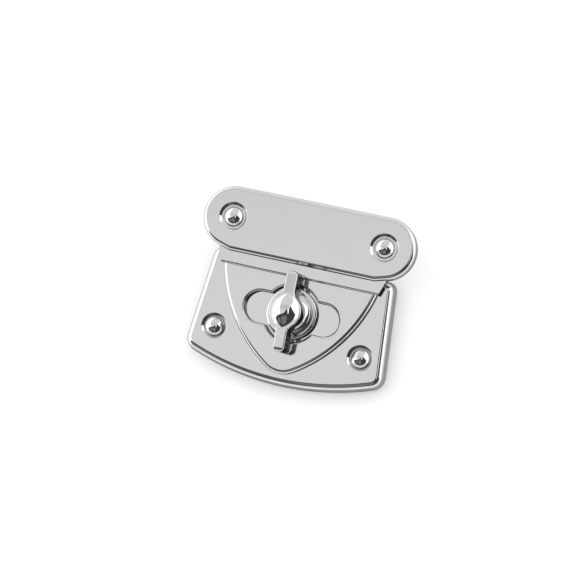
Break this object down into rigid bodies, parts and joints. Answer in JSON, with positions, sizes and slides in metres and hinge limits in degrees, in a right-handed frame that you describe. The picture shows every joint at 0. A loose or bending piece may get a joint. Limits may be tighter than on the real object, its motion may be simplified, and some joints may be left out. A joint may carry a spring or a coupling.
{
  "type": "bag twist lock",
  "caption": "Bag twist lock: a slotted shield-shaped tongue under a round-ended bar lies on a flared base plate and is held by a winged turn knob; dome-headed rivets fix it.",
  "frame": {"origin": "middle of the lock's footprint, level with the tips of the rivet shanks", "axes": "+X along the bar, +Y from the base plate up to the bar, +Z out of the bag, along the knob's axis"},
  "size_m": [0.0498, 0.0424, 0.0161],
  "materials": {
    "nickel_plates": "polished nickel plate on a zinc die casting",
    "nickel_knob": "polished nickel plate on a zinc die casting",
    "nickel_rivets": "polished nickel plate on a steel rivet",
    "spring_steel": "bare stamped steel"
  },
  "bodies": {
    "lock": {"base_plate": "nickel_plates", "flap_plate": "nickel_plates", "spring_washer": "spring_steel", "base_rivet_left": "nickel_rivets", "base_rivet_right": "nickel_rivets", "flap_rivet_left": "nickel_rivets", "flap_rivet_right": "nickel_rivets"},
    "knob": {"turn_knob": "nickel_knob", "retaining_washer": "spring_steel"}
  },
  "joints": [
    {"name": "knob_turn", "type": "hinge", "parent": "lock", "child": "knob", "pos_m": [0, -0.0046, 0.0067], "axis": [0, 0, 1], "continuous": true}
  ]
}
